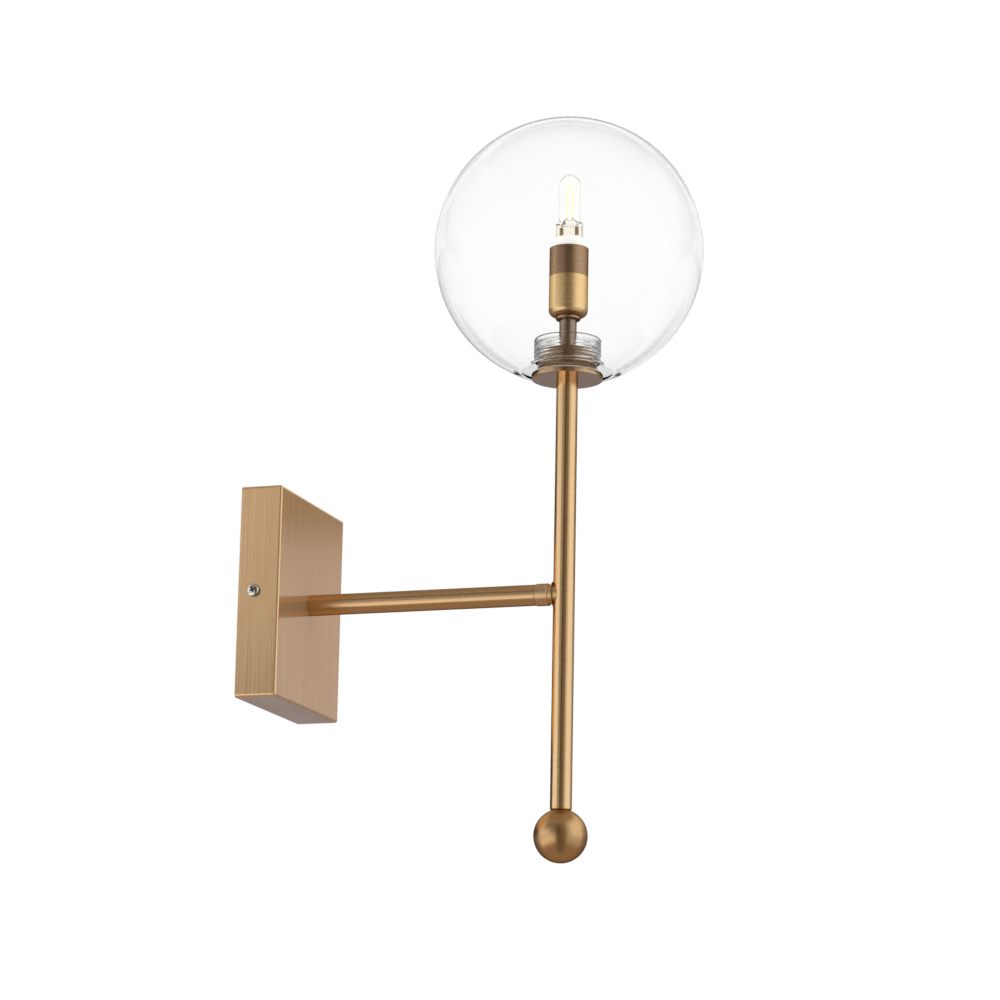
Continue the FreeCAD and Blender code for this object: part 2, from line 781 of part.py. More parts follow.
def globe_glass():
    """The blown globe. At its mouth the glass folds inward and runs up as a neck, whose bore screws
    onto the collar."""
    body = turn(new_body("globe_glass"), ("0", "globe_centre + inner_radius", "inner_radius"),
                ("0", "globe_centre + globe_radius"), ("mouth_radius", "gasket_top", "-(globe_radius)"),
                ("neck_bore", "gasket_top"), ("neck_bore", "neck_top"), ("neck_radius", "neck_top"),
                ("neck_radius", "foot_top"), ("inner_mouth", "foot_top"))
    round_edges(body, "neck_root", rim_at("neck_radius", "foot_top"))
    round_edges(body, "mouth_round", rim_at("mouth_radius", "gasket_top"))
    round_edges(body, "lip_round", rim_at("neck_bore", "gasket_top"))
    round_edges(body, "lip_round", rim_at("neck_bore", "neck_top"))
    round_edges(body, "lip_round", rim_at("neck_radius", "neck_top"))
    return on_stem(body)


# --- Riser and socket -----------------------------------------------------------------------------


def riser_tube():
    return on_stem(turned_ring("riser_tube", "spigot_hole", "riser_diameter / 2", "stud_shoulder",
                               "ring_low"))


def socket_ring():
    """The turned ring between riser and cup."""
    rim = "ring_diameter / 2"
    body = turn(new_body("socket_ring"), ("spigot_hole", "ring_low"), (f"{rim} - ring_edge", "ring_low"),
                (rim, "ring_low + ring_edge", "ring_edge"), (rim, "cup_low - ring_edge"),
                (f"{rim} - ring_edge", "cup_low", "ring_edge"), ("spigot_hole", "cup_low"))
    return on_stem(body)


def cup_nipple():
    """The hollow nipple that joins riser, ring, cup and bracket."""
    return on_stem(turned_ring("cup_nipple", "spigot_bore / 2", "spigot_radius", "ring_low - spigot_grip",
                               "cup_nut_low + nut_thickness + thread_spare / 2"))


def cup_nut():
    nut = hexagon_nut("cup_nut", "cup_nut_flats", "spigot_hole", "cup_nut_low",
                      "cup_nut_low + nut_thickness")
    return on_stem(nut)


def socket_cup():
    """The drawn brass cup round the lampholder."""
    body = turn(new_body("socket_cup"), ("spigot_hole", "cup_low"), ("cup_radius - cup_corner", "cup_low"),
                ("cup_radius", "cup_low + cup_corner", "cup_corner"), ("cup_radius", "cup_rim"),
                ("cup_bore", "cup_rim"), ("cup_bore", "cup_low + cup_corner"),
                ("cup_radius - cup_corner", "cup_floor", "-(cup_corner - cup_wall)"),
                ("spigot_hole", "cup_floor"))
    return on_stem(body)


def holder_bracket():
    """The steel bracket on the cup's floor: a round base, two legs and two tabs turned inward,
    which the lampholder stands on."""
    body = turned_ring("holder_bracket", "spigot_hole", "base_radius", "cup_floor",
                       "cup_floor + bracket_sheet")
    for left in (False, True):
        side = (lambda across: f"-({across})") if left else (lambda across: across)
        sketch = sketch_on(body, "XZ_Plane")
        outline(sketch, (side("leg_outside"), "cup_floor"), (side("leg_outside"), "holder_foot"),
                (side("bracket_screws / 2 - bracket_leg / 2"), "holder_foot"),
                (side("bracket_screws / 2 - bracket_leg / 2"), "holder_foot - bracket_sheet"),
                (side("leg_outside - bracket_sheet"), "holder_foot - bracket_sheet"),
                (side("leg_outside - bracket_sheet"), "cup_floor"))
        pad(body, sketch, "bracket_leg", side="Symmetric")
    sketch = sketch_on(body, "XY_Plane", "holder_foot")
    circle(sketch, "bracket_screws / 2", "0", "fixing_thread / 2 + screw_clearance")
    circle(sketch, "-bracket_screws / 2", "0", "fixing_thread / 2 + screw_clearance")
    pocket(body, sketch, "bracket_sheet * 2")
    return on_stem(body)


def holder_screws():
    """Two screws up through the bracket's tabs into the lampholder."""
    upside_down = FreeCAD.Rotation(FreeCAD.Vector(1, 0, 0), 180)
    screws = []
    for number, across in enumerate(("bracket_screws / 2", "-bracket_screws / 2"), start=1):
        screw = pan_screw(f"holder_screw_{number}", "fixing_thread", "holder_head",
                          "fixing_head_height", "bracket_sheet + fixing_thread * 1.5")
        screws.append(place(screw, upside_down, x=across, y="-(stem_axis)",
                            z="holder_foot - bracket_sheet"))
    return group("holder_screws", *screws)


def lampholder():
    """The ceramic lampholder: a slot for each pin in its face, a well behind each slot for the
    contact, and two blind holes for the screws."""
    body = turned_ring("lampholder", "0", "holder_radius", "holder_foot", "holder_top")
    slots = sketch_on(body, "XY_Plane", "holder_top")
    wells = sketch_on(body, "XY_Plane", "holder_foot")
    for side in ("-", "+"):
        middle = f"{side}pin_spacing / 2"
        rectangle(slots, "-pin_wire", "pin_wire", f"{middle} - pin_width / 2 - pin_wire",
                  f"{middle} + pin_width / 2 + pin_wire")
        rectangle(wells, "-well_width / 2", "well_width / 2", f"{middle} - well_length / 2",
                  f"{middle} + well_length / 2")
    pocket(body, slots, "holder_height")
    pocket(body, wells, "well_top - holder_foot", back=True)
    sketch = sketch_on(body, "XY_Plane", "holder_foot")
    for side in ("-", "+"):
        circle(sketch, f"{side}bracket_screws / 2", "0", "fixing_thread / 2 + thread_play")
    pocket(body, sketch, "fixing_thread * 2", back=True)
    return on_stem(body)


def contact_spring(number, side):
    """One contact: two spring blades on a base that is pressed into its well."""
    body = new_body(f"contact_{number}")
    blade = "pin_wire / 2 + contact_gap"
    level = "contact_low + contact_sheet"
    sketch = sketch_on(body, "XZ_Plane")
    outline(sketch, ("-well_width / 2", "contact_low"), ("well_width / 2", "contact_low"),
            ("well_width / 2", level), (f"{blade} + contact_sheet", level),
            (f"{blade} + contact_sheet", "contact_top"), (blade, "contact_top"), (blade, level),
            (f"-({blade})", level), (f"-({blade})", "contact_top"),
            (f"-({blade} + contact_sheet)", "contact_top"), (f"-({blade} + contact_sheet)", level),
            ("-well_width / 2", level))
    pad(body, sketch, "contact_width", side="Symmetric")
    return place(body, y=f"-(stem_axis) {side} pin_spacing / 2")


def holder_contacts():
    return group("holder_contacts", contact_spring(1, "-"), contact_spring(2, "+"))


# --- Lamp -----------------------------------------------------------------------------------------


def bulb_glass():
    """The quartz capsule on its flat pinched foot."""
    low = "capsule_low"
    inside = "capsule_radius - capsule_wall"
    shoulder = "capsule_shoulder"
    body = turn(new_body("bulb_glass"), ("0", f"{low} + capsule_wall * 2"), ("0", low),
                (f"capsule_radius - {shoulder}", low), ("capsule_radius", f"{low} + {shoulder}", shoulder),
                ("capsule_radius", "capsule_top - capsule_radius"),
                ("0", "capsule_top", "capsule_radius"), ("0", "capsule_top - capsule_wall"),
                (inside, "capsule_top - capsule_radius", f"-({inside})"),
                (inside, f"{low} + {shoulder} + capsule_wall"),
                (f"{inside} - {shoulder} + capsule_wall", f"{low} + capsule_wall * 2",
                 f"-({shoulder} - capsule_wall)"))
    sketch = sketch_on(body, "YZ_Plane")
    rectangle(sketch, "-pinch_width / 2", "pinch_width / 2", "holder_top", "pinch_top")
    pad(body, sketch, "pinch_thickness", side="Symmetric")
    return on_stem(body)


def pin_loop(side):
    """One pin: a loop of stout wire that hangs from the pinch."""
    low = "holder_top - pin_length + pin_width / 2"
    middle = f"-(stem_axis) {side} pin_spacing / 2"
    pieces = []
    for edge in ("-", "+"):
        leg = doc.addObject("Part::Cylinder", "pin_leg")
        bind(leg, Radius="pin_wire / 2", Height=f"holder_top - ({low})",
             Placement__Base__y=f"{middle} {edge} pin_width / 2", Placement__Base__z=low)
        pieces.append(leg)
    bend = doc.addObject("Part::Torus", "pin_bend")
    bend.Angle3 = 180
    bend.Placement.Rotation = FreeCAD.Rotation(FreeCAD.Vector(0, -1, 0), FreeCAD.Vector(0, 0, -1),
                                               FreeCAD.Vector(1, 0, 0), "XYZ")
    bind(bend, Radius1="pin_width / 2", Radius2="pin_wire / 2", Placement__Base__y=middle,
         Placement__Base__z=low)
    loop = doc.addObject("Part::MultiFuse", "pin_loop")
    loop.Shapes = pieces + [bend]
    return loop


def bulb_pins():
    return group("bulb_pins", pin_loop("-"), pin_loop("+"))


def rounded_path(points, bend):
    """A path of straight runs joined by tangent arcs. Each arc is as large as its two runs allow,
    up to the given bend."""
    edges = []
    start = points[0]
    for before, corner, after in zip(points, points[1:], points[2:]):
        inward = (corner - before).normalize()
        outward = (after - corner).normalize()
        half = inward.getAngle(outward) / 2
        run = min((corner - before).Length, (after - corner).Length)
        radius = min(bend, 0.45 * run / math.tan(half))
        reach = radius * math.tan(half)
        middle = corner + (outward - inward).normalize() * (radius / math.cos(half) - radius)
        first, last = corner - inward * reach, corner + outward * reach
        edges.append(Part.LineSegment(start, first).toShape())
        edges.append(Part.Arc(first, middle, last).toShape())
        start = last
    edges.append(Part.LineSegment(start, points[-1]).toShape())
    return Part.Wire(edges)


def wire_along(label, points, diameter, bend):
    """A round wire along a rounded path. Its volume is compared with section times length."""
    path = rounded_path(points, bend)
    section = Part.Circle(points[0], points[1] - points[0], diameter / 2).toShape()
    solid = path.makePipeShell([Part.Wire(section)], True, False)
    expected = math.pi * diameter ** 2 / 4 * path.Length
    if abs(solid.Volume - expected) > 0.02 * expected:
        raise ValueError(f"{label}: the wire's volume is {solid.Volume}, not {expected}")
    wire = doc.addObject("Part::Feature", label)
    wire.Label = label
    wire.Shape = solid
    return wire


def bulb_filament():
    """The coiled filament, a narrow arch; its turns are too fine to show."""
    centre = value("-stem_axis")
    half = value("coil_spacing / 2")
    low, high = value("holder_top + coil_low"), value("holder_top + coil_high")
    points = [FreeCAD.Vector(0, centre + half, low), FreeCAD.Vector(0, centre + half, high),
              FreeCAD.Vector(0, centre - half, high), FreeCAD.Vector(0, centre - half, low)]
    return wire_along("bulb_filament", points, value("coil_diameter"), half)


def bulb_leads():
    """Two foils sealed in the pinch, each with the wire that carries one end of the filament."""
    members = []
    centre = value("-stem_axis")
    foil_low = value("holder_top + foil_rise")
    foil_top = foil_low + value("foil_height")
    coil_end = value("holder_top + coil_low")
    for side in (-1, 1):
        pin = centre + side * value("pin_spacing / 2")
        foil = doc.addObject("Part::Box", "foil")
        foil.Label = f"foil_{len(members)}"
        bind(foil, Length="foil_thickness", Width="foil_width", Height="foil_height",
             Placement__Base__x="-foil_thickness / 2",
             Placement__Base__y=f"-(stem_axis) + {side} * pin_spacing / 2 - foil_width / 2",
             Placement__Base__z="holder_top + foil_rise")
        leg = centre + side * value("coil_spacing / 2")
        points = [FreeCAD.Vector(0, pin, foil_top), FreeCAD.Vector(0, pin, (foil_top + coil_end) / 2),
                  FreeCAD.Vector(0, leg, coil_end - 1), FreeCAD.Vector(0, leg, coil_end)]
        wire = wire_along(f"support_{len(members)}", points, value("support_wire"), 2)
        members += [foil, wire]
    return group("bulb_leads", *members)


# --- Leads ----------------------------------------------------------------------------------------


def supply_lead(label, side):
    """One insulated lead, from its pole through arm and stem to its contact. The two lie above each
    other in the arm and side by side in the stem."""
    offset = value("lead_offset") * side
    bend = value("lead_bend")
    pole = value("pole_pitch") * -side
    ports = value("-(block_axis)")
    nipple = value("-(nipple_back)")
    stem = value("-(stem_axis)")
    contact = stem + value("pin_spacing / 2") * side
    spread = value("cup_nut_low + nut_thickness + thread_spare")
    points = [FreeCAD.Vector(pole, ports, value("block_top - block_lip")),
              FreeCAD.Vector(pole, ports, value("block_top") / 2),
              FreeCAD.Vector(0, nipple + 1, offset),
              FreeCAD.Vector(0, stem + offset, offset),
              FreeCAD.Vector(0, stem + offset, spread),
              FreeCAD.Vector(0, contact, value("holder_foot - bracket_sheet * 4")),
              FreeCAD.Vector(0, contact, value("contact_low"))]
    return wire_along(label, points, value("lead_diameter"), bend - offset)


def earth_lead():
    """The earth lead, from the ring terminal down into the middle pole."""
    level = value("earth_level + crimp_level")
    across = value("ear_offset - barrel_length * 2 / 3")
    ports = value("-(block_axis)")
    ring = value("-ear_hole")
    points = [FreeCAD.Vector(across, ring, level), FreeCAD.Vector(0, ring, level),
              FreeCAD.Vector(0, ports, value("block_top - block_lip"))]
    return wire_along("earth_lead", points, value("lead_diameter"), value("lead_bend"))


pieces = [
    canopy(), wall_bracket(), canopy_screws(), earth_screw(), earth_terminal(), terminal_block(),
    terminal_barrels(), terminal_screws(), terminal_fixing(), arm_nipple(), arm_nut(), arm_washer(),
    arm_tube(), boss_nipple(), stem_boss(), stem_tube(), stem_plug(), finial_stud(), ball_finial(),
    stem_stud(), shade_plate(), shade_collar(), collar_washer(), collar_nut(), shade_gasket(),
    globe_glass(), riser_tube(), socket_ring(), cup_nipple(), cup_nut(), socket_cup(),
    holder_bracket(), holder_screws(), lampholder(), holder_contacts(), bulb_glass(), bulb_pins(),
    bulb_filament(), bulb_leads(), supply_lead("lead_live", 1), supply_lead("lead_neutral", -1),
    earth_lead(),
]

doc.recompute()
for thing in doc.Objects:
    if "Invalid" in thing.State or "Error" in thing.State:
        raise ValueError(f"{thing.Label} failed: {thing.State}")
for piece in pieces:
    if piece.Shape.isNull() or not piece.Shape.isValid():
        raise ValueError(f"{piece.Label} has no valid shape")

os.makedirs("parts", exist_ok=True)
for piece in pieces:
    piece.Shape.exportStep(f"parts/{piece.Label}.step")
    print(f"{piece.Label}: {len(piece.Shape.Solids)} solid(s), {piece.Shape.Volume:.1f} mm3")
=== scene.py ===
import math

import bmesh
import bpy
from mathutils import Matrix, Vector


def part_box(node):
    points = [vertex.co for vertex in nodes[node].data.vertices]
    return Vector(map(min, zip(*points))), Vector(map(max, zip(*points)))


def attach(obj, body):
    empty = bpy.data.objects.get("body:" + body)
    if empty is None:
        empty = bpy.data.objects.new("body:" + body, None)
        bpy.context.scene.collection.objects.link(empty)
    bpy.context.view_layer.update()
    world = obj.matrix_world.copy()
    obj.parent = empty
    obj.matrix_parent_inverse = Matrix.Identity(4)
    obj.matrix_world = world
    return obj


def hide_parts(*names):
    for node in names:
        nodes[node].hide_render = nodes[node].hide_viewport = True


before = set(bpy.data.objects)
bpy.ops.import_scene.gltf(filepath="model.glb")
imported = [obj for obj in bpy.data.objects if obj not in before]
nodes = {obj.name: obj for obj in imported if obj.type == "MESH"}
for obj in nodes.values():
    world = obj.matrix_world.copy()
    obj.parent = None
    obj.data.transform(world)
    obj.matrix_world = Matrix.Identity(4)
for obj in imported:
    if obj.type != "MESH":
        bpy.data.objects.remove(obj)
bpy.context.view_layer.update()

# --- Camera ---------------------------------------------------------------------------------------
# A long lens, 1.87 m off to the left of the light and a little below it, so that the side of the
# wall box is seen nearly square on and the underside of the globe's plate shows.
turn_round = math.radians(-71.468)
tilt = math.radians(-13.043)
roll = math.radians(1.111)
backward = Vector((math.sin(turn_round) * math.cos(tilt), -math.cos(turn_round) * math.cos(tilt),
                   math.sin(tilt)))
level = Vector((math.cos(turn_round), math.sin(turn_round), 0))
upward = backward.cross(level)
right = level * math.cos(roll) + upward * math.sin(roll)
above = upward * math.cos(roll) - level * math.sin(roll)
lens = bpy.data.cameras.new("long lens")
lens.sensor_width = 36
lens.lens = 120.326
camera = bpy.data.objects.new("camera", lens)
camera.matrix_world = (
    Matrix.Translation(Vector((0, -0.135896, 0.055287)) + backward * 1.867774)
    @ Matrix((right, above, backward)).transposed().to_4x4()
)
bpy.context.collection.objects.link(camera)
bpy.context.scene.camera = camera
bpy.context.scene.view_settings.view_transform = "Standard"

# --- Studio ---------------------------------------------------------------------------------------
# The light hangs in a white studio over a pale floor. Dark and grey cards stand round it, as a
# photographer sets them, so that polished brass shows dark lines between bright ones. Only mirrored
# rays see them, and one card shows only through the thick glass of the neck.
stem_y = -0.1742
towards_camera = math.degrees(math.atan2(backward.y, backward.x))


def card_surface(name, tone, through=None):
    """A card of one tone that a ray sees only once it has been mirrored by the metal. With through
    it is seen by what passes more glass faces."""
    surface = bpy.data.materials.new(name)
    surface.use_nodes = True
    tree = surface.node_tree
    tree.nodes.remove(tree.nodes["Principled BSDF"])
    paint = tree.nodes.new("ShaderNodeEmission")
    paint.inputs["Color"].default_value = (*tone, 1)
    nothing = tree.nodes.new("ShaderNodeBsdfTransparent")
    ray = tree.nodes.new("ShaderNodeLightPath")
    either = tree.nodes.new("ShaderNodeMixShader")
    test = tree.nodes.new("ShaderNodeMath")
    both = tree.nodes.new("ShaderNodeMath")
    both.operation = "MULTIPLY_ADD"
    both.use_clamp = True
    tree.links.new(ray.outputs["Transmission Depth"], test.inputs[0])
    if through:
        test.operation = "GREATER_THAN"
        test.inputs[1].default_value = through
        both.inputs[1].default_value = 1.0
        both.inputs[2].default_value = 0.0
    else:
        # Past one or two glass faces a ray misses the card, so that the glass doesn't mirror it.
        test.operation = "COMPARE"
        test.inputs[1].default_value = 1.5
        test.inputs[2].default_value = 1.0
        both.inputs[1].default_value = -50.0
        tree.links.new(ray.outputs["Glossy Depth"], both.inputs[2])
    tree.links.new(test.outputs[0], both.inputs[0])
    tree.links.new(both.outputs[0], either.inputs[0])
    tree.links.new(nothing.outputs[0], either.inputs[1])
    tree.links.new(paint.outputs[0], either.inputs[2])
    tree.links.new(either.outputs[0], tree.nodes["Material Output"].inputs["Surface"])
    return surface


def stand(name, data, surface):
    """Stand a card in the studio, out of the camera's and the lamps' sight."""
    sheet = bpy.data.objects.new(name, data)
    data.materials.append(surface)
    bpy.context.collection.objects.link(sheet)
    sheet.visible_camera = False
    sheet.visible_diffuse = False
    sheet.visible_shadow = False


def bent_card(name, first, last, low, high, radius, tone, **seen):
    """A card bent round the stem, between two bearings off the camera and between two heights."""
    mesh = bmesh.new()
    steps = 16
    rows = []
    for step in range(steps + 1):
        bearing = math.radians(towards_camera + first + (last - first) * step / steps)
        across, along = radius * math.cos(bearing), stem_y + radius * math.sin(bearing)
        rows.append([mesh.verts.new((across, along, height)) for height in (low, high)])
    for near, far in zip(rows, rows[1:]):
        mesh.faces.new((near[0], far[0], far[1], near[1]))
    data = bpy.data.meshes.new(name)
    mesh.to_mesh(data)
    mesh.free()
    stand(name, data, card_surface(name, tone, **seen))


def fan_card(name, first, last, inner, outer, height, tone):
    """A level card round the stem's axis, between two bearings off the camera and two radii."""
    mesh = bmesh.new()
    steps = 24
    rows = []
    for step in range(steps + 1):
        bearing = math.radians(towards_camera + first + (last - first) * step / steps)
        rows.append([mesh.verts.new((radius * math.cos(bearing), stem_y + radius * math.sin(bearing),
                                     height)) for radius in (inner, outer)])
    for near, far in zip(rows, rows[1:]):
        mesh.faces.new((near[0], far[0], far[1], near[1]))
    data = bpy.data.meshes.new(name)
    mesh.to_mesh(data)
    mesh.free()
    stand(name, data, card_surface(name, tone))


card_foot = -0.6
card_head = 3.0
far_off = 2.6
bent_card("black card behind the camera", -22, -5, card_foot, card_head, far_off,
          (0.09, 0.065, 0.04))
bent_card("dark card behind the camera", -5, 25, card_foot, card_head, far_off,
          (0.20, 0.165, 0.12))
bent_card("grey card, low left", -48, -22, card_foot, 0.16, far_off, (0.80, 0.78, 0.75))
bent_card("black card, low left", -48, -22, 0.16, 0.40, far_off, (0.05, 0.045, 0.05))
bent_card("light card, left", -48, -22, 0.40, 0.84, far_off, (0.40, 0.385, 0.37))
bent_card("grey card, high left", -84, -22, 0.84, 1.10, far_off, (0.42, 0.40, 0.39))
bent_card("dark card, high left", -84, -22, 1.10, card_head, far_off, (0.22, 0.19, 0.17))
bent_card("grey card on the right", 25, 44, card_foot, card_head, far_off, (0.62, 0.60, 0.59))
bent_card("black card, far left", -175, -105, 0.1, 0.80, far_off, (0.08, 0.07, 0.06))
bent_card("light card, far left", -175, -105, 0.80, 1.40, far_off, (0.80, 0.80, 0.79))
bent_card("grey card, far right", 105, 165, 0.1, 0.62, far_off, (0.46, 0.45, 0.50))
bent_card("brown card, far right", 105, 165, 0.62, 0.80, far_off, (0.20, 0.13, 0.06))
bent_card("light card, far right", 105, 165, 0.80, 1.40, far_off, (0.80, 0.80, 0.79))
bent_card("dark card, high behind", 150, 210, 1.42, 2.3, far_off, (0.22, 0.22, 0.22))
bent_card("dark card, low behind", 105, 255, card_foot, 0.1, far_off, (0.25, 0.26, 0.33))
bent_card("dark card seen low through the neck", 110, 250, 0.0, 0.56, 2.5, (0.10, 0.10, 0.10),
          through=7)
fan_card("dark card, below the camera", -24, 24, 0.0, far_off, card_foot, (0.15, 0.12, 0.09))
fan_card("brown card underneath", 24, 336, 0.0, 0.80, card_foot, (0.34, 0.26, 0.20))
fan_card("white card, below on the left", -105, -24, 0.80, 1.8, card_foot, (1.15, 1.12, 1.05))
fan_card("grey card, below on the left", -105, -24, 1.8, far_off, card_foot, (1.05, 1.02, 0.97))
fan_card("grey card, below on the right", 24, 105, 0.80, far_off, card_foot, (0.60, 0.57, 0.53))
fan_card("dark card, below and behind", 105, 255, 0.80, far_off, card_foot, (0.24, 0.22, 0.23))
fan_card("dark card overhead", 0, 360, 0.0, 1.9, 2.3, (0.32, 0.26, 0.20))

floor_mesh = bpy.data.meshes.new("floor")
half_floor = 6
floor_height = -0.62
floor_corners = [(-half_floor, -half_floor), (half_floor, -half_floor), (half_floor, half_floor),
                 (-half_floor, half_floor)]
floor_mesh.from_pydata([(*corner, floor_height) for corner in floor_corners], [], [(0, 1, 2, 3)])
floor_paint = bpy.data.materials.new("pale floor")
floor_paint.use_nodes = True
floor_shader = floor_paint.node_tree.nodes["Principled BSDF"]
floor_shader.inputs["Base Color"].default_value = (0.88, 0.88, 0.88, 1)
floor_shader.inputs["Roughness"].default_value = 0.9
floor_shader.inputs["Specular IOR Level"].default_value = 0.0
floor_mesh.materials.append(floor_paint)
floor = bpy.data.objects.new("floor", floor_mesh)
bpy.context.collection.objects.link(floor)

world = bpy.data.worlds.new("white studio")
bpy.context.scene.world = world
world.use_nodes = True
tree = world.node_tree
for node in list(tree.nodes):
    tree.nodes.remove(node)
ray = tree.nodes.new("ShaderNodeLightPath")
seen = tree.nodes.new("ShaderNodeMath")
seen.operation = "MAXIMUM"
seen_or_mirrored = tree.nodes.new("ShaderNodeMath")
seen_or_mirrored.operation = "MAXIMUM"
tree.links.new(ray.outputs["Is Camera Ray"], seen.inputs[0])
tree.links.new(ray.outputs["Is Glossy Ray"], seen.inputs[1])
tree.links.new(seen.outputs[0], seen_or_mirrored.inputs[0])
tree.links.new(ray.outputs["Is Transmission Ray"], seen_or_mirrored.inputs[1])
soft = tree.nodes.new("ShaderNodeBackground")
soft.inputs["Color"].default_value = (0.95, 0.97, 1.0, 1)
soft.inputs["Strength"].default_value = 0.5
white = tree.nodes.new("ShaderNodeBackground")
white.inputs["Color"].default_value = (1, 1, 1, 1)
white.inputs["Strength"].default_value = 1.0
choose = tree.nodes.new("ShaderNodeMixShader")
out = tree.nodes.new("ShaderNodeOutputWorld")
tree.links.new(seen_or_mirrored.outputs[0], choose.inputs[0])
tree.links.new(soft.outputs[0], choose.inputs[1])
tree.links.new(white.outputs[0], choose.inputs[2])
tree.links.new(choose.outputs[0], out.inputs[0])


def softbox(name, bearing, height, distance, width, power):
    """A soft lamp on a bearing off the camera, aimed at the light."""
    lamp = bpy.data.lights.new(name, "AREA")
    lamp.shape = "RECTANGLE"
    lamp.size = width
    lamp.size_y = width * 1.4
    lamp.energy = power
    holder = bpy.data.objects.new(name, lamp)
    angle = math.radians(towards_camera + bearing)
    holder.location = (distance * math.cos(angle), stem_y + distance * math.sin(angle), height)
    aim = Vector((0, -0.12, 0.05)) - holder.location
    holder.rotation_euler = aim.to_track_quat("-Z", "Y").to_euler()
    holder.visible_camera = False
    holder.visible_glossy = False
    holder.visible_transmission = False
    bpy.context.collection.objects.link(holder)


softbox("softbox on the left", -62, 1.1, 2.0, 1.0, 26)
softbox("softbox on the right", 66, 0.9, 2.0, 1.0, 22)
softbox("softbox overhead", 150, 1.7, 1.2, 1.2, 16)

# --- Wall strap and its small parts ---------------------------------------------------------------
# A zinc-plated steel strip, bent forward at its two ends and slotted for the wall screws. It holds
# the light to the wall and is hidden behind the box, with its earth screw and ring terminal.


def noise_over(surface, scale, detail):
    """Noise over the piece, stretched by a different scale along each axis."""
    tree = surface.node_tree
    place = tree.nodes.new("ShaderNodeTexCoord")
    stretch = tree.nodes.new("ShaderNodeMapping")
    stretch.inputs["Scale"].default_value = scale
    noise = tree.nodes.new("ShaderNodeTexNoise")
    noise.inputs["Scale"].default_value = 1.0
    noise.inputs["Detail"].default_value = detail
    tree.links.new(place.outputs["Object"], stretch.inputs["Vector"])
    tree.links.new(stretch.outputs["Vector"], noise.inputs["Vector"])
    return noise.outputs["Fac"]


def spread(surface, source, low, high):
    """Carry the noise's useful middle over to a range of values."""
    fit = surface.node_tree.nodes.new("ShaderNodeMapRange")
    fit.inputs["From Min"].default_value = 0.3
    fit.inputs["From Max"].default_value = 0.7
    fit.inputs["To Min"].default_value = low
    fit.inputs["To Max"].default_value = high
    surface.node_tree.links.new(source, fit.inputs["Value"])
    return fit.outputs["Result"]


def finish(name, colour, roughness, metallic=0.0, shade=None, grain=(60, 60, 60), relief=0.0):
    """A finish whose colour and gloss vary a little from place to place, as on the real piece."""
    surface = bpy.data.materials.new(name)
    surface.use_nodes = True
    tree = surface.node_tree
    shader = tree.nodes["Principled BSDF"]
    shader.inputs["Metallic"].default_value = metallic
    uneven = noise_over(surface, grain, 3.0)
    mix = tree.nodes.new("ShaderNodeMix")
    mix.data_type = "RGBA"
    mix.inputs["A"].default_value = (*(shade or [part * 0.9 for part in colour]), 1)
    mix.inputs["B"].default_value = (*colour, 1)
    tree.links.new(spread(surface, uneven, 0.0, 1.0), mix.inputs["Factor"])
    tree.links.new(mix.outputs["Result"], shader.inputs["Base Color"])
    tree.links.new(spread(surface, uneven, roughness * 0.85, roughness * 1.15),
                   shader.inputs["Roughness"])
    if relief:
        bump = tree.nodes.new("ShaderNodeBump")
        bump.inputs["Strength"].default_value = 0.4
        bump.inputs["Distance"].default_value = relief
        tree.links.new(uneven, bump.inputs["Height"])
        tree.links.new(bump.outputs["Normal"], shader.inputs["Normal"])
    return surface


def dress(surface, *names):
    """Give CAD nodes their finish."""
    for name in names:
        nodes[name].data.materials.clear()
        nodes[name].data.materials.append(surface)


zinc = finish("zinc plating", (0.62, 0.63, 0.65), 0.38, metallic=1.0, shade=(0.48, 0.50, 0.53),
              grain=(180, 180, 180), relief=0.00005)
dress(zinc, "wall_bracket", "earth_terminal", "terminal_screws", "terminal_fixing")
machined = finish("machined brass", (0.80, 0.60, 0.30), 0.25, metallic=1.0)
dress(machined, "earth_screw")

# --- Terminal block and leads ---------------------------------------------------------------------
# A nylon block with brass barrels joins the house wiring to the light. Two silicone leads run
# through arm and stem to the lampholder, and a green and yellow one joins the strap to earth.
dress(finish("natural nylon", (0.80, 0.80, 0.74), 0.45), "terminal_block")
dress(machined, "terminal_barrels")
dress(finish("brown silicone", (0.13, 0.06, 0.03), 0.5), "lead_live")
dress(finish("blue silicone", (0.03, 0.10, 0.32), 0.5), "lead_neutral")
dress(finish("green and yellow silicone", (0.62, 0.58, 0.03), 0.5, shade=(0.02, 0.20, 0.05),
             grain=(500, 500, 500)), "earth_lead")

# --- Wall box -------------------------------------------------------------------------------------
# One drawn brass box, brushed from top to bottom, toned and lacquered. It hides the strap and is
# held by a screw in each side.
brass_tone = (0.90, 0.61, 0.33)


def brushed(name, tone, scratches, roughness, drawn_out, along, uneven=0.9, edge=(0.3, 0.22, 0.2)):
    """Brass with fine scratches, which run across the axis with the largest scale. Its gloss is
    drawn out round the stem's axis, or along it."""
    surface = finish(name, tone, roughness, metallic=1.0, shade=[part * uneven for part in tone],
                     grain=scratches, relief=0.000004)
    shader = surface.node_tree.nodes["Principled BSDF"]
    shader.inputs["Specular Tint"].default_value = (*edge, 1)
    shader.inputs["Anisotropic"].default_value = drawn_out
    shader.inputs["Anisotropic Rotation"].default_value = 0.25 if along else 0.0
    lie = surface.node_tree.nodes.new("ShaderNodeTangent")
    lie.direction_type = "RADIAL"
    lie.axis = "Z"
    surface.node_tree.links.new(lie.outputs["Tangent"], shader.inputs["Tangent"])
    return surface


box_brass = brushed("box brass, brushed upright", (0.91, 0.60, 0.33), (1500, 1500, 12), 0.18, 0.6,
                    False, uneven=0.86, edge=(1, 1, 1))
box_brass.node_tree.nodes["Principled BSDF"].inputs["Metallic"].default_value = 0.82
dress(box_brass, "canopy")

